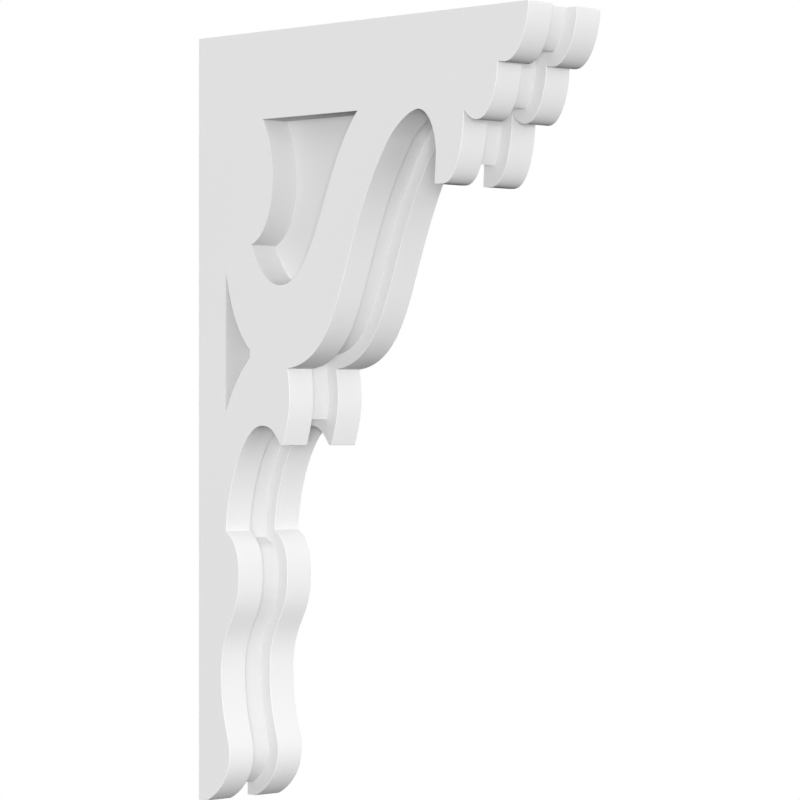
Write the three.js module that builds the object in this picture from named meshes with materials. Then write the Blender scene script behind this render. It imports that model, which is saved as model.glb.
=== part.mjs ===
import * as THREE from "three";

// A scrolled corbel of three layers: two pierced cheeks with a slimmer core between them.
// Millimetres, +Z up. X runs out from the wall and Y across the corbel. The origin lies on
// the wall face, on the centre line and halfway up.

// Overall sizes
const height = 686;
const projection = 404;

// The three layers, and how far the core stands back from the edge of the cheeks
const cheekThickness = 29.4;
const coreThickness = 29.5;
const seam = 0.3;
const setBack = 12.5;

// Walls of the cheeks round their two openings
const topRail = 78;
const windowWall = 84.5;
const stem = 73;
const lensWall = 36;

// Flats and small straight edges
const footFlat = 10.5;
const dripFlat = 3.1;
const lensDepth = 31.5;
const lensNose = 6.5;

// Length of the straight facets along a curve, and how closely the core's set-back is held
const facet = 5;
const closeness = 1e-6;

const paint = { color: 0xf3f3f1, roughness: 0.5, metalness: 0 };

// A point of the free scroll, as shares of the projection and of the height
const at = (out, up) => new THREE.Vector2(out * projection, up * height);

// The points of a curve after its start. Each handle is a share of the run and the drop.
function bend(from, to, leave, arrive) {
  const handle = ([run, drop]) =>
    new THREE.Vector2(
      THREE.MathUtils.lerp(from.x, to.x, run),
      THREE.MathUtils.lerp(from.y, to.y, drop),
    );
  const curve = new THREE.CubicBezierCurve(from, handle(leave), handle(arrive), to);
  return curve.getSpacedPoints(Math.ceil(curve.getLength() / facet)).slice(1);
}

// A run of stretches end to end: each is a straight line or, with handles, a curve
function trace(start, stretches) {
  const points = [start];
  for (const { to, leave, arrive } of stretches) {
    const from = points.at(-1);
    points.push(...(leave ? bend(from, to, leave, arrive) : [to]));
  }
  return points;
}

// The lobes under the nose: each face rounds down to a belly, and a heel climbs to the next
function lobes() {
  const forms = [
    { belly: at(0.9344, 0.9295), leave: 0.41, arrive: 0.42, heel: at(0.9146, 0.9312) },
    { belly: at(0.8564, 0.8627), leave: 0.36, arrive: 0.35, heel: at(0.8183, 0.8759) },
    { belly: at(0.7574, 0.7876), leave: 0.36, arrive: 0.27, heel: at(0.7342, 0.7884) },
  ];
  return forms.flatMap(({ belly, leave, arrive, heel }) => [
    { to: belly, leave: [0, leave], arrive: [arrive, 1] },
    { to: heel, leave: [0.45, 0], arrive: [0.75, 0.5] },
  ]);
}

// The crook behind the last lobe, and the long sweep from its crown down to the drip
const crown = at(0.6849, 0.8818);

function crookAndSweep() {
  return [
    { to: at(0.7376, 0.8251) },
    { to: crown, leave: [0, 0.55], arrive: [0.45, 1] },
    { to: at(0.5941, 0.8443), leave: [0.3, 0], arrive: [0.79, 0.56] },
    { to: at(0.4686, 0.6888), leave: [0.48, 0.32], arrive: [0.766, 0.69] },
    { to: at(0.2891, 0.5647), leave: [0.195, 0.456], arrive: [0.377, 0.943] },
  ];
}

// The drip that hangs below the sweep, and the small arch behind it
function dripAndArch() {
  const tip = at(0.2735, 0.4662);
  const heel = new THREE.Vector2(tip.x - dripFlat, tip.y);
  return [
    { to: tip, leave: [-0.69, 0.42], arrive: [-0.47, 0.58] },
    { to: heel },
    { to: at(0.2064, 0.4913), leave: [0.3, 0.55], arrive: [0.44, 1] },
    { to: at(0.0908, 0.3538), leave: [0.574, 0], arrive: [1, 0.654] },
  ];
}

// The wavy foot: a shoulder, a waist and a round toe over a short flat at the wall
function foot() {
  return [
    { to: at(0.1322, 0.2959), leave: [0.87, 0.23], arrive: [1, 0.64] },
    { to: at(0.0745, 0.1691), leave: [0, 0.49], arrive: [1, 0.487] },
    { to: at(0.102, 0.0627), leave: [0, 0.586], arrive: [1, 0.778] },
    { to: new THREE.Vector2(footFlat, 0), leave: [0, 0.465], arrive: [0.457, 0.834] },
    { to: new THREE.Vector2(0, 0) },
  ];
}

// The free edge of a cheek, from the top of the nose down to the wall
function freeEdge() {
  const nose = new THREE.Vector2(projection, height);
  return trace(nose, [...lobes(), ...crookAndSweep(), ...dripAndArch(), ...foot()]);
}

// The tall opening between the wall and the sweep, with a cusp on its wall side
function windowEdge() {
  const head = height - topRail;
  const wallCorner = new THREE.Vector2(windowWall, head);
  return trace(wallCorner, [
    { to: at(0.1728, 0.7254), leave: [-1.41, 0.325], arrive: [-1.13, 0.893] },
    { to: at(0.2651, 0.672), leave: [0.14, 0.433], arrive: [0.525, 1] },
    { to: new THREE.Vector2(crown.x - stem, head), leave: [0.457, 0], arrive: [0.553, 0.685] },
  ]);
}

// The lens between the window and the small arch, straight at the back with a blunt nose
function lensEdge() {
  const nose = new THREE.Vector2(lensWall + lensDepth, 0.5843 * height);
  const top = new THREE.Vector2(lensWall, 0.6902 * height);
  const bottom = new THREE.Vector2(lensWall, 0.5102 * height);
  const noseLow = nose.clone().setY(nose.y - lensNose / 2);
  const noseHigh = nose.clone().setY(nose.y + lensNose / 2);
  return trace(top, [
    { to: bottom },
    { to: noseLow, leave: [0.248, 0.375], arrive: [0.475, 0.672] },
    { to: noseHigh },
    { to: top, leave: [0.61, 0.27], arrive: [0.81, 0.61] },
  ]).slice(1);
}

const cross = (a, b) => a.x * b.y - a.y * b.x;

// Where two endless lines meet, or the second one's start if they run the same way
function meeting(first, second) {
  const turn = cross(first.along, second.along);
  if (Math.abs(turn) < 1e-6) return second.start;
  const between = second.start.clone().sub(first.start);
  return first.start.clone().addScaledVector(first.along, cross(between, second.along) / turn);
}

function distanceToSide(point, from, to) {
  const side = to.clone().sub(from);
  const share = point.clone().sub(from).dot(side) / side.lengthSq();
  return from.clone().addScaledVector(side, THREE.MathUtils.clamp(share, 0, 1)).distanceTo(point);
}

// An edge moved inwards, from the top line down. Corners that point in are carried on until
// their sides meet. Points that come too near another side are dropped, so that corners that
// point out stay sharp.
function movedIn(edge, distance) {
  const topLine = { start: edge[0], along: new THREE.Vector2(1, 0) };
  const sides = edge.slice(1).map((to, i) => {
    const along = to.clone().sub(edge[i]).normalize();
    const inward = new THREE.Vector2(along.y, -along.x);
    return { along, inward, start: edge[i].clone().addScaledVector(inward, distance) };
  });
  const last = edge.at(-1).clone().addScaledVector(sides.at(-1).inward, distance);
  const corners = [meeting(sides[0], topLine)];
  for (let i = 1; i < sides.length; i++) corners.push(meeting(sides[i - 1], sides[i]));
  corners.push(last);
  const clear = (corner) =>
    sides.every((_, i) => distanceToSide(corner, edge[i], edge[i + 1]) > distance - closeness);
  const kept = corners.map((corner, i) => i).filter((i) => clear(corners[i]));
  return kept.flatMap((i, n) => {
    const next = kept[n + 1];
    if (next === undefined || next === i + 1) return [corners[i]];
    return [corners[i], meeting(sides[i], sides[next - 1])];
  });
}

// One layer: its outline runs down the free edge and back up the wall, and is given thickness
function layer(name, edge, openings, thickness, near) {
  const shape = new THREE.Shape([...edge, new THREE.Vector2(0, height)]);
  shape.holes = openings.map((opening) => new THREE.Path(opening));
  const geometry = new THREE.ExtrudeGeometry(shape, { depth: thickness, bevelEnabled: false });
  const mesh = new THREE.Mesh(geometry, new THREE.MeshStandardMaterial(paint));
  mesh.name = name;
  mesh.rotation.x = Math.PI / 2;
  mesh.position.set(0, near + thickness, -height / 2);
  return mesh;
}

const cheekEdge = freeEdge();
const openings = [windowEdge(), lensEdge()];
const coreNear = -coreThickness / 2;

const corbel = new THREE.Group();
corbel.add(
  layer("cheek_left", cheekEdge, openings, cheekThickness, coreNear - seam - cheekThickness),
  layer("core", movedIn(cheekEdge, setBack), [], coreThickness, coreNear),
  layer("cheek_right", cheekEdge, openings, cheekThickness, -coreNear + seam),
);

export default corbel;
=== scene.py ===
# %% [markdown]
# # A scrolled corbel in three layers
# A corbel is the bracket under a shelf, a beam or the eave of a roof. This one is built up of
# three boards, sawn to a scroll and glued face to face: two cheeks with two openings each, and
# a core that stands back from their edge all round. Everything is white.
#
# The script makes one board after another, from the outline to the finish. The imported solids
# give each board its place and its size, so the script loads them first.

# %% The frame and the tools
import math

import bpy
import numpy as np
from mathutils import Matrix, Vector
from mathutils.geometry import tessellate_polygon


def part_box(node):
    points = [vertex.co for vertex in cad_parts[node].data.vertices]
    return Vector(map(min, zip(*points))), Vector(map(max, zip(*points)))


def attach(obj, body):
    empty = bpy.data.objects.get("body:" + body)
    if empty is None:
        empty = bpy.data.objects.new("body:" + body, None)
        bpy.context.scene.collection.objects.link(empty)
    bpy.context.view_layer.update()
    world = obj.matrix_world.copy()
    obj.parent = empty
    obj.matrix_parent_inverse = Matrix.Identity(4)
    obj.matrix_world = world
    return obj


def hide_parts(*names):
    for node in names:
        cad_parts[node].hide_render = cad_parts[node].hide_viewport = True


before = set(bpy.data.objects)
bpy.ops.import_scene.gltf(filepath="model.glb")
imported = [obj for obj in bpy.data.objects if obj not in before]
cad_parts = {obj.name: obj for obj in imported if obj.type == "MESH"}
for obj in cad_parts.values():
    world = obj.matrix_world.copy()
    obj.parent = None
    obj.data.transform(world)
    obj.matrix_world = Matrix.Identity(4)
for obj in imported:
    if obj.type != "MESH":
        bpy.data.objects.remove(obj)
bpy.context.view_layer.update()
print("solids:", sorted(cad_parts))

# %% [markdown]
# ## The camera
# The corbel is seen from far off, level with its middle and about 45 degrees off its side. A
# camera could be aimed by eye, but this one was solved from the straight edges of the boards:
# the picture's lines are as long as they should be only from this place and with this lens.
# The vertical edges stay upright in the picture because the camera isn't tilted. It is shifted
# a little instead, as an architect's camera is.

# %% The camera
MM = 0.001
TURN = math.radians(44.859)
EDGE_DEPTH = 3059.6 * MM
EDGE_LEFT = 181.4 * MM
EYE_LEVEL = 0.5 * MM
PICTURE = 800
FOCAL_PIXELS = 3393.05
HORIZON_ROW = 418.6
SENSOR = 36
CLIP = (0.1, 100)

near_low, near_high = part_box("cheek_left")


def make_camera():
    """The eye lies back from the near edge at the wall by its depth, and to the right of it."""
    ahead = Vector((-math.sin(TURN), math.cos(TURN), 0))
    right = Vector((math.cos(TURN), math.sin(TURN), 0))
    wall_edge = Vector((near_low.x, near_low.y, EYE_LEVEL))
    lens = bpy.data.cameras.new("studio_camera")
    lens.sensor_width = SENSOR
    lens.lens = FOCAL_PIXELS / PICTURE * SENSOR
    lens.shift_y = (HORIZON_ROW - PICTURE / 2) / PICTURE
    lens.clip_start, lens.clip_end = CLIP
    camera = bpy.data.objects.new("studio_camera", lens)
    camera.location = wall_edge - ahead * EDGE_DEPTH + right * EDGE_LEFT
    camera.rotation_mode = "QUATERNION"
    camera.rotation_quaternion = ahead.to_track_quat("-Z", "Y")
    bpy.context.scene.collection.objects.link(camera)
    bpy.context.scene.camera = camera
    return camera


camera = make_camera()
print("camera at", [round(v, 4) for v in camera.location], "lens", round(camera.data.lens, 2))

# %% [markdown]
# ## Outlines from curves
# A sawn scroll is a run of smooth curves that meet in sharp corners. It could be traced as
# hundreds of points, but then no curve could be mended by hand. Here each stretch is one cubic
# curve with two handles, and each handle is a share of the stretch's run and drop. The points
# are then laid along the curve at even steps, so that the boards shade smoothly.

# %% Curves and runs of curves
height = near_high.z - near_low.z
projection = near_high.x
foot_level = near_low.z
STEP = 1.3 * MM
FINE = 400


def at(out, up):
    """A point of the scroll: shares of the projection, and of the height above the foot."""
    return np.array([out * projection, foot_level + up * height])


def bend(start, end, leave, arrive):
    """A cubic curve from start to end: the cubes and squares of t and 1 - t weigh its two ends
    and two handles. It is laid out finely, and its points are then spaced evenly by length."""
    run = end - start
    t = np.linspace(0, 1, FINE)[:, None]
    curve = (
        (1 - t) ** 3 * start
        + 3 * (1 - t) ** 2 * t * (start + run * np.array(leave))
        + 3 * (1 - t) * t**2 * (start + run * np.array(arrive))
        + t**3 * end
    )
    walked = np.append(0, np.cumsum(np.linalg.norm(np.diff(curve, axis=0), axis=1)))
    places = np.linspace(0, walked[-1], math.ceil(walked[-1] / STEP) + 1)[1:]
    return np.stack([np.interp(places, walked, curve[:, k]) for k in (0, 1)], axis=1)


def trace(start, stretches):
    """Stretches end to end. Each is its end alone, or its end and the two handles of a curve."""
    points = [start[None, :]]
    for end, *handles in stretches:
        points.append(bend(points[-1][-1], end, *handles) if handles else end[None, :])
    return np.concatenate(points)


# %% [markdown]
# ## The free edge of a cheek
# From the nose down, the edge has three round lobes like a row of drops, a crook, a long
# sweep, a drip that hangs over a small arch, and a wavy foot that comes back to the wall.

# %% The free edge
FOOT_FLAT = 10.5 * MM
DRIP_FLAT = 3.1 * MM
crown = at(0.6849, 0.8818)
drip_tip = at(0.2735, 0.4662)
drip_heel = drip_tip - [DRIP_FLAT, 0]
foot_front = np.array([FOOT_FLAT, foot_level])

LOBES = [
    (at(0.9344, 0.9295), 0.41, 0.42, at(0.9146, 0.9312)),
    (at(0.8564, 0.8627), 0.36, 0.35, at(0.8183, 0.8759)),
    (at(0.7574, 0.7876), 0.36, 0.27, at(0.7342, 0.7884)),
]
lobe_stretches = []
for belly, leave, arrive, heel in LOBES:
    lobe_stretches += [(belly, (0, leave), (arrive, 1)), (heel, (0.45, 0), (0.75, 0.5))]

SWEEP = [
    (at(0.7376, 0.8251),),
    (crown, (0, 0.55), (0.45, 1)),
    (at(0.5941, 0.8443), (0.3, 0), (0.79, 0.56)),
    (at(0.4686, 0.6888), (0.48, 0.32), (0.766, 0.69)),
    (at(0.2891, 0.5647), (0.195, 0.456), (0.377, 0.943)),
]
DRIP = [
    (drip_tip, (-0.69, 0.42), (-0.47, 0.58)),
    (drip_heel,),
    (at(0.2064, 0.4913), (0.3, 0.55), (0.44, 1)),
    (at(0.0908, 0.3538), (0.574, 0), (1, 0.654)),
]
FOOT = [
    (at(0.1322, 0.2959), (0.87, 0.23), (1, 0.64)),
    (at(0.0745, 0.1691), (0, 0.49), (1, 0.487)),
    (at(0.102, 0.0627), (0, 0.586), (1, 0.778)),
    (foot_front, (0, 0.465), (0.457, 0.834)),
    (at(0, 0),),
]
free_edge = trace(at(1, 1), lobe_stretches + SWEEP + DRIP + FOOT)
print("free edge:", len(free_edge), "points")

# %% [markdown]
# ## The two openings
# Each cheek is pierced by a tall window with a cusp on its wall side, and by a lens with a
# straight back and a blunt nose. The walls round them are given as real widths of board.

# %% The window and the lens
TOP_RAIL = 78 * MM
WINDOW_WALL = 84.5 * MM
STEM = 73 * MM
LENS_WALL = 36 * MM
LENS_DEPTH = 31.5 * MM
LENS_NOSE = 6.5 * MM

window_head = near_high.z - TOP_RAIL
window_corner = np.array([WINDOW_WALL, window_head])
window_loop = trace(
    window_corner,
    [
        (at(0.1728, 0.7254), (-1.41, 0.325), (-1.13, 0.893)),
        (at(0.2651, 0.672), (0.14, 0.433), (0.525, 1)),
        (np.array([crown[0] - STEM, window_head]), (0.457, 0), (0.553, 0.685)),
    ],
)
lens_nose = np.array([LENS_WALL + LENS_DEPTH, at(0, 0.5843)[1]])
lens_top = np.array([LENS_WALL, at(0, 0.6902)[1]])
lens_loop = trace(
    lens_top,
    [
        (np.array([LENS_WALL, at(0, 0.5102)[1]]),),
        (lens_nose - [0, LENS_NOSE / 2], (0.248, 0.375), (0.475, 0.672)),
        (lens_nose + [0, LENS_NOSE / 2],),
        (lens_top, (0.61, 0.27), (0.81, 0.61)),
    ],
)[1:]
print("window:", len(window_loop), "points, lens:", len(lens_loop), "points")

# %% [markdown]
# ## The edge of the core
# The core follows the cheeks, moved back by the same distance all round. Scaling the outline
# would not do it: the step would be wide in one place and narrow in another. Instead each
# side is moved inwards by itself, and neighbouring sides are met again. Points that then lie
# too near some other side are dropped, and the sides left over on both hands are carried on
# until they meet. So the tips of the lobes stay sharp, as a saw would leave them. HAIR is a
# length and SLACK a share, and both only make up for rounding.

# %% Moving an edge inwards
SET_BACK = 12.5 * MM
HAIR = 1e-9
SLACK = 1e-6


def unit(vectors):
    """Vectors of length one, row by row."""
    return vectors / np.linalg.norm(vectors, axis=-1, keepdims=True)


def cross(a, b):
    """The turn from a to b, row by row: a.x times b.y less a.y times b.x."""
    return a[..., 0] * b[..., 1] - a[..., 1] * b[..., 0]


def meeting(start_a, along_a, start_b, along_b):
    """Where two endless lines meet. Lines that run the same way meet at the second's start."""
    turn = cross(along_a, along_b)
    level = np.abs(turn) < SLACK
    reach = cross(start_b - start_a, along_b) / np.where(level, 1, turn)
    return np.where(level[..., None], start_b, start_a + along_a * reach[..., None])


def moved_in(edge, distance):
    """The edge moved to its right-hand side by distance, from the top line to the wall."""
    along = unit(np.diff(edge, axis=0))
    inward = np.stack([along[:, 1], -along[:, 0]], axis=1) * distance
    starts = edge[:-1] + inward
    corners = np.concatenate([
        meeting(edge[:1], np.array([[1.0, 0.0]]), starts[:1], along[:1]),
        meeting(starts[:-1], along[:-1], starts[1:], along[1:]),
        edge[-1:] + inward[-1:],
    ])
    lengths = np.linalg.norm(np.diff(edge, axis=0), axis=1)
    apart = corners[:, None, :] - edge[None, :-1, :]
    share = np.clip((apart * along).sum(-1), 0, lengths)
    gap = np.linalg.norm(apart - along * share[..., None], axis=-1).min(axis=1)
    kept = np.flatnonzero(gap > distance - HAIR - SLACK * distance)
    jumps = np.flatnonzero(np.diff(kept) > 1)
    before, after = kept[jumps], kept[jumps + 1] - 1
    bridges = meeting(starts[before], along[before], starts[after], along[after])
    return np.insert(corners[kept], jumps + 1, bridges, axis=0)


core_edge = moved_in(free_edge, SET_BACK)
print("edge of the core:", len(core_edge), "points")

# %% [markdown]
# ## From an outline to a board
# A board could be an extruded curve with a bevel. Blender's bevel, though, swells at sharp
# corners and leaves the flat faces shaded like a pillow. Here the edge is a surface of two
# parameters: the place along the outline, and the place on a profile that runs from one face
# of the board over its arris, across its thickness and over the other arris. Both faces are
# then filled flat, holes and all, and their rims are marked as sharp, so that the small round
# of the arris doesn't pull at their shading.

# %% Outlines made ready
SHARP = math.radians(24)
ARRIS = 0.4 * MM
CORNER = 0.5 * MM
ROUND_STEPS = 4
MOST_CUT = 0.85 * STEP
LONG_SIDE = 2 * STEP
SUPPORT = 0.3 * MM


def sides_of(loop):
    """The direction in which each side of a closed loop leaves its point."""
    return unit(np.roll(loop, -1, axis=0) - loop)


def eased(loop, radius):
    """A closed loop whose outward corners are rounded: each is cut back on both sides, and a
    parabola with its handle on the old corner joins the cuts. It is tightest at its middle,
    to the radius, if the cut is radius times the cosine over the squared sine of half the
    corner's angle. A long straight side gets one more point beyond its cut, so that the
    shading of the round ends there."""
    leaves = sides_of(loop)
    comes = np.roll(leaves, 1, axis=0)
    turns = np.arctan2(cross(comes, leaves), (comes * leaves).sum(-1))
    corners = np.flatnonzero(turns < -SHARP)
    half_angles = (math.pi + turns[corners]) / 2
    cuts = np.minimum(radius * np.cos(half_angles) / np.sin(half_angles) ** 2, MOST_CUT)
    print("corners eased, with their angles:", np.degrees(2 * half_angles).round().tolist())
    t = np.linspace(0, 1, ROUND_STEPS + 1)[:, None]
    lengths = np.linalg.norm(np.roll(loop, -1, axis=0) - loop, axis=1)
    extra = (lengths > LONG_SIDE).astype(int)
    pieces, done = [], 0
    for c, cut in zip(corners, cuts):
        first, last = loop[c] - comes[c] * cut, loop[c] + leaves[c] * cut
        arc = (1 - t) ** 2 * first + 2 * t * (1 - t) * loop[c] + t**2 * last
        before = arc[:extra[c - 1]] - comes[c] * SUPPORT
        after = arc[len(arc) - extra[c]:] + leaves[c] * SUPPORT
        pieces += [loop[done:c], before, arc, after]
        done = c + 1
    return np.concatenate([*pieces, loop[done:]])


def mitres(loop):
    """For each point, how far it moves outwards when both of its sides move out by one."""
    leaves = sides_of(loop)
    comes = np.roll(leaves, 1, axis=0)
    out_a, out_b = (np.stack([-side[:, 1], side[:, 0]], axis=1) for side in (comes, leaves))
    return (out_a + out_b) / (1 + (out_a * out_b).sum(-1, keepdims=True))


# %% Profiles of a sawn edge
def arris(radius):
    """A quarter circle from a face to the sawn edge: (inset, depth), where the inset shrinks
    with the sine and the depth grows with one less the cosine."""
    angle = np.linspace(0, math.pi / 2, ROUND_STEPS + 1)
    return np.stack([radius * (1 - np.sin(angle)), radius * (1 - np.cos(angle))], axis=1)


def edge_profile(thickness, near_radius, far_radius):
    """(inset, depth, on the sawn edge) from the near face to the far one. The shading of each
    arris ends at a point a little beyond it, so that the sawn edge itself is flat."""

    def half(radius):
        if not radius:
            return np.array([[0.0, 0.0, 1.0]])
        curve = arris(radius)
        sawn = np.linspace(0, 1, len(curve))[:, None]
        return np.vstack([np.hstack([curve, sawn]), [0, radius + SUPPORT, 1]])

    far = half(far_radius)[::-1] * [1, -1, 1] + [0, thickness, 0]
    return np.vstack([half(near_radius), far])


cheek_thickness = near_high.y - near_low.y
print("profile of a cheek's edge:", len(edge_profile(cheek_thickness, ARRIS, ARRIS)), "points")


# %% The surface of a sawn edge
def edge_surface(loop, profile, near):
    """The grid of one sawn edge: point (i, j) is outline point i moved in by the profile's
    inset j, at the near face plus the profile's depth j."""
    flat = loop[:, None, :] - mitres(loop)[:, None, :] * profile[None, :, 0, None]
    depth = np.broadcast_to(near + profile[None, :, 1], flat.shape[:2])
    points = np.stack([flat[..., 0], depth, flat[..., 1]], axis=-1)
    run = np.append(0, np.cumsum(np.linalg.norm(np.diff(loop, axis=0, append=loop[:1]), axis=1)))
    across = np.append(0, np.cumsum(np.linalg.norm(np.diff(profile[:, :2], axis=0), axis=1)))
    rows, columns = flat.shape[:2]
    i, j = np.meshgrid(np.arange(rows), np.arange(columns - 1), indexing="ij")
    i, j = i.ravel(), j.ravel()
    ahead = (i + 1) % rows
    quads = np.stack([i * columns + j, ahead * columns + j, ahead * columns + j + 1,
                      i * columns + j + 1], axis=1)
    chart = np.stack([
        np.stack([run[i], run[i + 1], run[i + 1], run[i]], axis=1),
        np.stack([across[j], across[j], across[j + 1], across[j + 1]], axis=1),
    ], axis=-1)
    return points, quads, chart


# %% Flat faces with holes
DENT = 0.01 * MM
STRAIGHT = 1e-5


def dented(rim):
    """A rim for the filling alone. Points on a straight side move into the board by a hair, so
    that no triangle is made of three points in one line."""
    leaves = sides_of(rim[:, [0, 2]])
    straight = np.abs(cross(np.roll(leaves, 1, axis=0), leaves)) < STRAIGHT
    dent = np.stack([leaves[:, 1], np.zeros(len(rim)), -leaves[:, 0]], axis=1)
    return rim + dent * straight[:, None] * DENT


def flat_face(rims, places, face_side):
    """Triangles that fill a face between its rims, turned to the given side along Y. A rim's
    place is its first number in the board, the columns of its grid and its own column."""
    filled = tessellate_polygon([[Vector(p) for p in dented(rim)] for rim in rims])
    corners = np.concatenate(rims)
    index = np.concatenate([
        offset + np.arange(len(rim)) * columns + column
        for rim, (offset, columns, column) in zip(rims, places)
    ])
    triangles = np.array(filled)
    a, b, c = (corners[triangles[:, k]] for k in range(3))
    wrong = np.cross(b - a, c - a)[:, 1] * face_side < 0
    triangles[wrong] = triangles[wrong][:, ::-1]
    return index[triangles]


# %% What the finish and the shading need
def edge_painted_shade(points, faces, painted_shade):
    """How much painted shade, a grey that stands for the shade in a recess, each side of a sawn
    edge gets. At the wall and on top the boards are flush, so there is none there."""
    ends = points.reshape(-1, 3)[faces[:, :2]]
    at_wall = (ends[..., 0] < HAIR).all(axis=1)
    on_top = (ends[..., 2] > near_high.z - HAIR).all(axis=1)
    return np.where(at_wall | on_top, 0.0, painted_shade)


def add_layer(mesh, name, domain, values):
    """A number for each point or each face, which the finish reads by its name."""
    layer = mesh.attributes.new(name, "FLOAT", domain)
    layer.data.foreach_set("value", values.astype(np.float32))


def shade(mesh, rim_points):
    """Smooth shading that stops at the sharp corners and at the rims of the flat faces."""
    mesh.polygons.foreach_set("use_smooth", np.ones(len(mesh.polygons), bool))
    mesh.set_sharp_from_angle(angle=SHARP)
    on_rim = np.zeros(len(mesh.vertices), bool)
    on_rim[rim_points] = True
    ends = np.empty(len(mesh.edges) * 2, np.int32)
    mesh.edges.foreach_get("vertices", ends)
    sharp = np.empty(len(mesh.edges), bool)
    mesh.edges.foreach_get("use_edge_sharp", sharp)
    mesh.edges.foreach_set("use_edge_sharp", sharp | on_rim[ends.reshape(-1, 2)].all(axis=1))
    mesh.update()


# %% A board from its loops
def make_board(name, loops, profiles, near, shade_shares):
    """A board with its outline first and its openings after it, as one closed mesh. The last
    argument gives the painted shade, a grey that stands for the shade in a recess, on the free
    edge, in the openings, on the near face and on the far one."""
    on_edge, in_openings, on_near, on_far = shade_shares
    grids, quads, charts, sawn, painted_shade, starts = [], [], [], [], [], []
    total = 0
    for loop, profile in zip(loops, profiles):
        points, faces, chart = edge_surface(loop, profile, near)
        painted_shade.append(edge_painted_shade(points, faces, in_openings if grids else on_edge))
        grids.append(points)
        quads.append(faces + total)
        charts.append(chart)
        sawn.append(np.broadcast_to(profile[None, :, 2], points.shape[:2]).ravel())
        starts.append((total, points.shape[1]))
        total += points.shape[0] * points.shape[1]
    near_rims = [grid[:, 0] for grid in grids]
    far_rims = [grid[:, -1] for grid in grids]
    near_face = flat_face(near_rims, [(s, n, 0) for s, n in starts], -1)
    far_face = flat_face(far_rims, [(s, n, n - 1) for s, n in starts], 1)
    vertices = np.concatenate([grid.reshape(-1, 3) for grid in grids])
    quads = np.concatenate(quads)
    triangles = np.concatenate([near_face, far_face])
    mesh = bpy.data.meshes.new(name)
    mesh.from_pydata(vertices.tolist(), [], quads.tolist() + triangles.tolist())
    chart = np.concatenate([
        np.concatenate(charts).reshape(-1, 2),
        vertices[triangles.ravel()][:, [0, 2]],
    ])
    mesh.uv_layers.new(name="edge_run").data.foreach_set("uv", chart.astype(np.float32).ravel())
    # Painted shade of each face of the board, which the finish reads as a grey.
    painted_shade += [np.full(len(near_face), on_near), np.full(len(far_face), on_far)]
    is_flat = np.repeat([0.0, 1.0], [len(quads), len(triangles)])
    add_layer(mesh, "sawn_edge", "POINT", np.concatenate(sawn))
    add_layer(mesh, "flat_face", "FACE", is_flat)
    add_layer(mesh, "painted_shade_share", "FACE", np.concatenate(painted_shade))
    shade(mesh, triangles.ravel())
    board = bpy.data.objects.new(name, mesh)
    bpy.context.scene.collection.objects.link(board)
    print(name, len(quads) * 2 + len(triangles), "triangles")
    return board


# %% [markdown]
# ## The three boards
# The cheeks are alike, and their openings have an arris only on the outer face, because the
# other side is glued down. The core gets no arris either: its edges end against the cheeks.
# It reaches into each cheek by a hair, so that no light gets through the glue line. The
# painted shade of each board, a grey that stands for the shade in its openings and recesses,
# is listed as make_board takes it: 0 is none, and 1 is the darkest.

# %% Cheeks and core
GLUE_LINE = 0.1 * MM
# Painted shade for the free edge, the openings, the near face and the far face: grey on the walls
# of the openings, on the core's set-back edge and faces, and on the cheeks' inner faces.
NEAR_PAINTED_SHADE = (0.0, 1.0, 0.0, 0.5)
FAR_PAINTED_SHADE = (0.0, 1.0, 0.5, 0.0)
CORE_PAINTED_SHADE = (0.45, 0.0, 0.6, 0.6)
top_back = at(0, 1)
cheek_loop = eased(np.vstack([free_edge, top_back]), CORNER)
core_loop = np.vstack([core_edge, top_back])
opening_loops = [window_loop, lens_loop]


def signed_area(loop):
    """Half the sum of each point crossed with the next: negative where it runs clockwise."""
    return cross(loop, np.roll(loop, -1, axis=0)).sum() / 2


print("areas in square centimetres:",
      [round(float(signed_area(loop)) * 1e4) for loop in [cheek_loop, core_loop, *opening_loops]])


def make_cheek(name, node, near_arris, far_arris, shade_shares):
    """A cheek in its node's place. The arrises are those of its openings on either face."""
    low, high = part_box(node)
    thickness = high.y - low.y
    profiles = [edge_profile(thickness, ARRIS, ARRIS)]
    profiles += [edge_profile(thickness, near_arris, far_arris)] * len(opening_loops)
    return make_board(name, [cheek_loop, *opening_loops], profiles, low.y, shade_shares)


near_cheek = make_cheek("near_cheek_board", "cheek_left", ARRIS, 0, NEAR_PAINTED_SHADE)
far_cheek = make_cheek("far_cheek_board", "cheek_right", 0, ARRIS, FAR_PAINTED_SHADE)
near_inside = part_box("cheek_left")[1].y
far_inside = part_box("cheek_right")[0].y
core_profile = edge_profile(far_inside - near_inside + 2 * GLUE_LINE, 0, 0)
core_board = make_board(
    "core_board", [core_loop], [core_profile], near_inside - GLUE_LINE, CORE_PAINTED_SHADE)

# %% [markdown]
# ## Maths on sockets
# A finish is built from many small sums on colours and numbers. Nodes added one at a time
# hide those sums. A wire is an output that Python can add and multiply, so the sum is
# written as it would be on paper, and each operator leaves its Math node behind. A bench is
# the tree that the nodes stand in. Sockets go by name, or by number where names repeat.

# %% Wires and benches
class Wire:
    """An output socket. An operator on it adds a Math node and gives that node's output."""

    def __init__(self, bench, socket):
        self.bench = bench
        self.socket = socket

    def __add__(self, other):
        return self.bench.maths("ADD", self, other)

    def __rsub__(self, other):
        return self.bench.maths("SUBTRACT", other, self)

    def __mul__(self, other):
        return self.bench.maths("MULTIPLY", self, other)

    __radd__ = __add__


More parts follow.
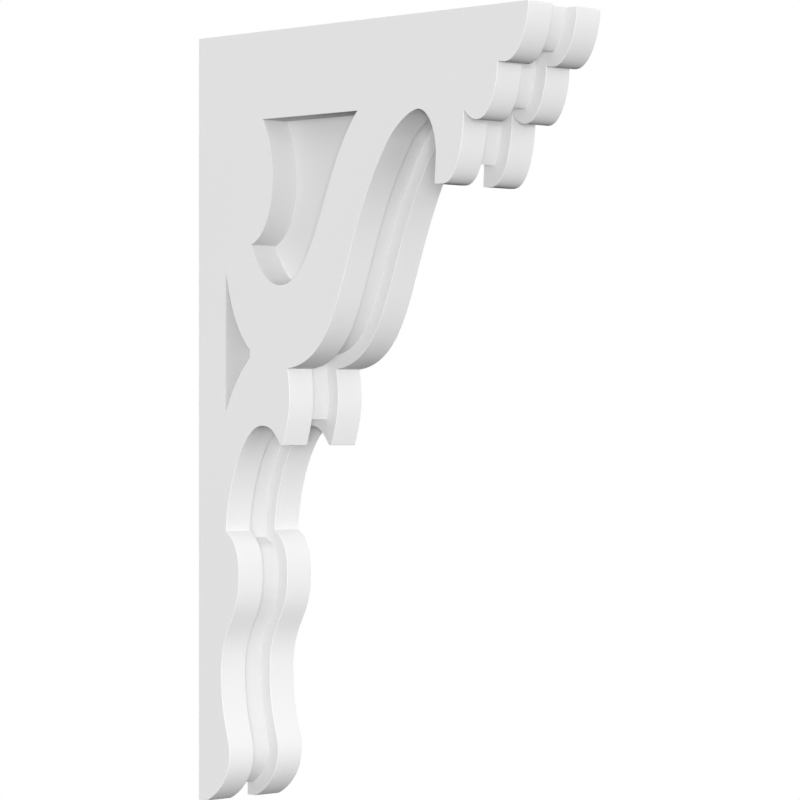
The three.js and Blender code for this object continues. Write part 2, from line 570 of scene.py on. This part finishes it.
class Bench:
    """A node tree to work at. node() adds any node: its settings first, then its sockets."""

    def __init__(self, tree):
        self.tree = tree
        tree.nodes.clear()

    def node(self, kind, settings=None, sockets=None, output=0):
        made = self.tree.nodes.new(kind)
        for name, value in (settings or {}).items():
            setattr(made, name, value)
        for name, value in (sockets or {}).items():
            if isinstance(value, Wire):
                self.tree.links.new(value.socket, made.inputs[name])
            else:
                made.inputs[name].default_value = value
        return Wire(self, made.outputs[output]) if made.outputs else made

    def maths(self, operation, first, second):
        return self.node("ShaderNodeMath", {"operation": operation}, {0: first, 1: second})

    def noise(self, place, scale, detail):
        sockets = {"Vector": place, "Scale": scale, "Detail": detail}
        return self.node("ShaderNodeTexNoise", {}, sockets)

    def blend(self, factor, first, second):
        return self.node("ShaderNodeMix", {"data_type": "RGBA"},
                         {"Factor": factor, 6: first, 7: second}, output=2)


# %% [markdown]
# ## The white finish
# The boards are smooth, dense, white sheet with a satin skin. The faces carry the faint
# pebbling of a sprayed or rolled coat, about a millimetre wide, and the white is a little
# greyer in some places than in others. The sawn edges are less even: they are slightly
# duller, and fine ripples run across them where the cutter went by. Those follow the edge
# round, so they are drawn on the board's own map of the edge and not in space. The white is
# painted greyer in the openings, on the core's set-back edge and on the inner faces of the
# cheeks: that grey is painted shade for those recesses.

# %% The white finish
SKIN = (0.712, 0.712, 0.711, 1)
SKIN_COOL = (0.69, 0.691, 0.691, 1)
EDGE_TINT = (0.708, 0.708, 0.707, 1)
# Painted shade: the grey that the white turns to in the openings and recesses.
PAINTED_SHADE_GREY = (0.575, 0.575, 0.575, 1)
CLOUD_SHARE = 0.7
TINT_SHARE = 0.6
GLOSS = 0.15
ROUGHNESS = 0.55
ROUGH_CLOUDS, ROUGH_MOTTLE, ROUGH_SAWN = 0.1, 0.06, 0.07
print("whites:", SKIN[:3], SKIN_COOL[:3], EDGE_TINT[:3], PAINTED_SHADE_GREY[:3])

# %% Grain and relief
CLOUDS = {"scale": 7, "detail": 3}
MOTTLE = {"scale": 95, "detail": 4}
PEBBLES = {"scale": 950, "detail": 2}
WANDER = {"scale": 60, "detail": 2}
RIPPLE = 1.6 * MM
RIPPLE_WANDER = 9
PEBBLE_HEIGHT = 0.6
RIPPLE_HEIGHT = 0.12
FACE_MOTTLE, EDGE_MOTTLE = 0.25, 0.35
RELIEF = 0.08 * MM
RELIEF_STRENGTH = 0.5
print("one ripple in millimetres:", RIPPLE / MM, "and the relief:", RELIEF / MM)


# %% The material
def white_finish(name):
    """Painted sheet: broad clouds in the white, a fine pebbled skin, and ripples across the
    sawn edges that come from a sine along the edge, made uneven by a slow noise."""
    material = bpy.data.materials.new(name)
    material.use_nodes = True
    bench = Bench(material.node_tree)
    place = bench.node("ShaderNodeTexCoord", output="Object")
    run = bench.node("ShaderNodeUVMap", {"uv_map": "edge_run"})
    flat, edge, painted_shade = (
        bench.node("ShaderNodeAttribute", {"attribute_name": layer}, output="Fac")
        for layer in ("flat_face", "sawn_edge", "painted_shade_share")
    )
    sawn = edge * (1 - flat)
    clouds = bench.noise(place, **CLOUDS)
    mottle = bench.noise(place, **MOTTLE)
    pebbles = bench.noise(place, **PEBBLES)
    wander = bench.noise(place, **WANDER)
    along = bench.node("ShaderNodeSeparateXYZ", {}, {"Vector": run}, output="X")
    ripple = bench.node("ShaderNodeMath", {"operation": "SINE"},
                        {0: along * (2 * math.pi / RIPPLE) + wander * RIPPLE_WANDER})
    whiteness = clouds * CLOUD_SHARE + mottle * (1 - CLOUD_SHARE)
    face_white = bench.blend(whiteness, SKIN_COOL, SKIN)
    unshaded_white = bench.blend(sawn * TINT_SHARE, face_white, EDGE_TINT)
    # Painted shade: the white is blended towards grey in the openings and recesses, as far as the
    # layer says.
    colour = bench.blend(painted_shade, unshaded_white, PAINTED_SHADE_GREY)
    relief = (pebbles * PEBBLE_HEIGHT + ripple * (sawn * RIPPLE_HEIGHT)
              + mottle * (FACE_MOTTLE + sawn * EDGE_MOTTLE))
    normal = bench.node("ShaderNodeBump", {}, {"Strength": RELIEF_STRENGTH, "Distance": RELIEF,
                                               "Height": relief})
    roughness = (ROUGHNESS + clouds * ROUGH_CLOUDS + mottle * ROUGH_MOTTLE
                 + sawn * ROUGH_SAWN)
    bench.node("ShaderNodeOutputMaterial", {}, {"Surface": bench.node(
        "ShaderNodeBsdfPrincipled", {},
        {"Base Color": colour, "Roughness": roughness, "Specular IOR Level": GLOSS,
         "Normal": normal})})
    return material


# %% The finish on the boards
boards = {"cheek_left": near_cheek, "core": core_board, "cheek_right": far_cheek}
for node, board in boards.items():
    board.data.materials.append(white_finish("white_sheet_" + node))
    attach(board, "root")
    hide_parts(node)
print("finished:", [board.name for board in boards.values()])

# %% [markdown]
# ## Floor and light
# The corbel hangs, as it does in use, with a pale floor well below it. A floor without an end
# would draw a horizon behind the corbel, so this one is a round sheet that fades out, and it
# isn't there at all for an eye below it. The main lamp stands behind the camera and level with
# it, and nearly half of its light casts no shadow, as from a white wall behind the camera.
# A broad sky fills in, and the undersides stay darker.

# %% The floor
FLOOR_DROP = 0.55
FLOOR_RADIUS = 4.6
FADE_START = 0.9
FADE_END = FLOOR_RADIUS - 0.5
RIM = 96
FLOOR_LOOK = {"Base Color": (0.35, 0.35, 0.35, 1), "Roughness": 0.9,
              "Emission Color": (1, 1, 1, 1), "Emission Strength": 0.62}


def make_floor():
    """A round sheet: its centre and a ring of points at even angles. It fades with the
    distance from its middle, and it is clear where it is seen from below."""
    angle = np.linspace(0, 2 * math.pi, RIM, endpoint=False)
    ring = np.stack([np.cos(angle), np.sin(angle), np.zeros(RIM)], axis=1) * FLOOR_RADIUS
    points = np.vstack([[0, 0, 0], ring]) + [projection / 2, 0, foot_level - FLOOR_DROP]
    side = np.arange(RIM)
    faces = np.stack([np.zeros(RIM, int), 1 + side, 1 + (side + 1) % RIM], axis=1)
    mesh = bpy.data.meshes.new("floor")
    mesh.from_pydata(points.tolist(), [], faces.tolist())
    floor = bpy.data.objects.new("floor", mesh)
    bpy.context.scene.collection.objects.link(floor)
    material = bpy.data.materials.new("pale_floor")
    material.use_nodes = True
    bench = Bench(material.node_tree)
    place = bench.node("ShaderNodeTexCoord", output="Object")
    level = bench.node("ShaderNodeVectorMath", {"operation": "MULTIPLY"}, {0: place, 1: (1, 1, 0)})
    away = bench.node("ShaderNodeVectorMath", {"operation": "LENGTH"}, {0: level}, output="Value")
    fade = bench.node("ShaderNodeMapRange", {"interpolation_type": "SMOOTHSTEP"},
                      {"Value": away, "From Min": FADE_START, "From Max": FADE_END})
    sheet = bench.node("ShaderNodeBsdfPrincipled", {}, FLOOR_LOOK)
    clear = bench.node("ShaderNodeBsdfTransparent")
    from_below = bench.node("ShaderNodeNewGeometry", output="Backfacing")
    hidden = bench.maths("MAXIMUM", fade, from_below)
    bench.node("ShaderNodeOutputMaterial", {}, {"Surface": bench.node(
        "ShaderNodeMixShader", {}, {0: hidden, 1: sheet, 2: clear})})
    mesh.materials.append(material)
    floor.visible_diffuse = floor.visible_glossy = False


make_floor()
print("floor below the foot in metres:", FLOOR_DROP)

# %% [markdown]
# ## The lamps and the sky
# Each lamp has its angle round from the front and its angle above level, its strength, how
# many degrees it spans, and whether it casts a shadow.

# %% The light
LAMPS = {
    "front_lamp": (-44, 0, 1.6, 11, True),
    "fill_lamp": (-44, 0, 1.33, 11, False),
    "nose_lamp": (0, 0, 0.38, 45, True),
    "far_lamp": (30, 5, 0.2, 40, True),
    "back_lamp": (125, 20, 1.8, 45, True),
}
LAMP_DISTANCE = 3
SKY = 0.8
GROUND = 0.02
HORIZON = 0.15


def make_lamp(name, round_about, above, strength, spread, shadow):
    """A far soft lamp: its place is an angle round from the front and an angle above level. A
    lamp without a shadow stands for light that comes round every edge."""
    turn, lift = math.radians(round_about), math.radians(above)
    place = Vector((math.cos(lift) * math.cos(turn), math.cos(lift) * math.sin(turn),
                    math.sin(lift)))
    lamp = bpy.data.lights.new(name, "SUN")
    lamp.energy, lamp.angle = strength, math.radians(spread)
    lamp.use_shadow = shadow
    holder = bpy.data.objects.new(name, lamp)
    holder.location = place * LAMP_DISTANCE
    holder.rotation_mode = "QUATERNION"
    holder.rotation_quaternion = (-place).to_track_quat("-Z", "Y")
    bpy.context.scene.collection.objects.link(holder)


def make_surround():
    """The world: white to the camera. As a light it is a sky over a dim ground, which meet in
    a soft band at eye level."""
    world = bpy.data.worlds.new("surround")
    world.use_nodes = True
    bpy.context.scene.world = world
    bench = Bench(world.node_tree)
    direction = bench.node("ShaderNodeTexCoord")
    up = bench.node("ShaderNodeSeparateXYZ", {}, {"Vector": direction}, output="Z")
    share = bench.node("ShaderNodeMapRange", {"interpolation_type": "SMOOTHSTEP"},
                       {"Value": up, "From Min": -HORIZON, "From Max": HORIZON,
                        "To Min": GROUND, "To Max": SKY})
    white = (1, 1, 1, 1)
    soft = bench.node("ShaderNodeBackground", {}, {"Color": white, "Strength": share})
    plain = bench.node("ShaderNodeBackground", {}, {"Color": white, "Strength": 1})
    seen = bench.node("ShaderNodeLightPath", output="Is Camera Ray")
    bench.node("ShaderNodeOutputWorld", {}, {"Surface": bench.node(
        "ShaderNodeMixShader", {}, {0: seen, 1: soft, 2: plain})})


make_surround()
for name, settings in LAMPS.items():
    make_lamp(name, *settings)
print("lamps:", list(LAMPS))
bpy.context.scene.view_settings.view_transform = "Standard"
bpy.context.scene.view_settings.look = "None"
